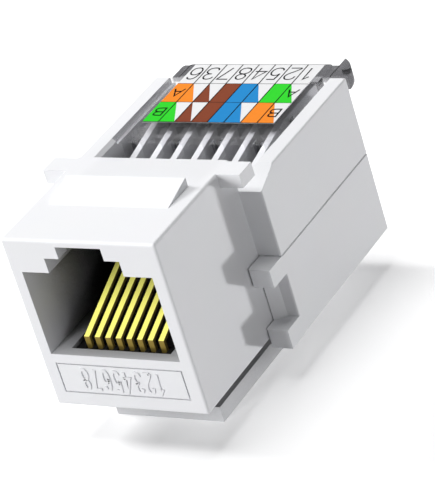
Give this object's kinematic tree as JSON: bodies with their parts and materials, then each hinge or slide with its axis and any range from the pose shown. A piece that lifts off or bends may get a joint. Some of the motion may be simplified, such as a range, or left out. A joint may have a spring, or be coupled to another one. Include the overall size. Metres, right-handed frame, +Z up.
{
  "type": "keystone jack",
  "caption": "Snap-in RJ45 keystone jack: stepped plug socket with spring contacts, colour-keyed wire terminals under a clear lift-off cap, and a sprung release latch.",
  "frame": {"origin": "middle of the front face's lower edge, where the jack meets the lower edge of a panel opening", "axes": "+X across the jack, to the right as seen from the front; +Y from the front face into the depth; +Z up, towards the socket's latch notch and the wire cap"},
  "size_m": [0.0188, 0.0317, 0.0206],
  "materials": {
    "white_shell": "satin moulded ABS",
    "black_insert": "matt moulded",
    "gold_contact": "polished gold plating",
    "tinned_terminal": "tin plated bronze",
    "board": "solder mask",
    "clear_cap": "clear polycarbonate",
    "label_film": "printed film"
  },
  "bodies": {
    "housing": {"front_housing": "white_shell", "contact_carrier": "black_insert", "circuit_board": "board", "rear_base": "white_shell", "terminal_housing": "white_shell", "idc_terminal_1": "tinned_terminal", "idc_terminal_2": "tinned_terminal", "idc_terminal_3": "tinned_terminal", "idc_terminal_4": "tinned_terminal", "idc_terminal_5": "tinned_terminal", "idc_terminal_6": "tinned_terminal", "idc_terminal_7": "tinned_terminal", "idc_terminal_8": "tinned_terminal"},
    "contacts": {"contact_1": "gold_contact", "contact_2": "gold_contact", "contact_3": "gold_contact", "contact_4": "gold_contact", "contact_5": "gold_contact", "contact_6": "gold_contact", "contact_7": "gold_contact", "contact_8": "gold_contact"},
    "cap": {"wire_cap": "clear_cap", "wiring_label": "label_film"},
    "latch": {"release_latch": "white_shell"}
  },
  "joints": [
    {"name": "latch_press", "type": "hinge", "parent": "housing", "child": "latch", "pos_m": [0, 0.0192, -0.00137], "axis": [-1, 0, 0], "range_deg": [0, 8], "stiffness_Nm_per_rad": 0.05},
    {"name": "contact_press", "type": "hinge", "parent": "housing", "child": "contacts", "pos_m": [0, 0.00195, 0.0049], "axis": [1, 0, 0], "range_deg": [-7, 0], "stiffness_Nm_per_rad": 0.02},
    {"name": "cap_lift", "type": "slide", "parent": "housing", "child": "cap", "axis": [0, 0, 1], "range_m": [0, 0.006]}
  ]
}
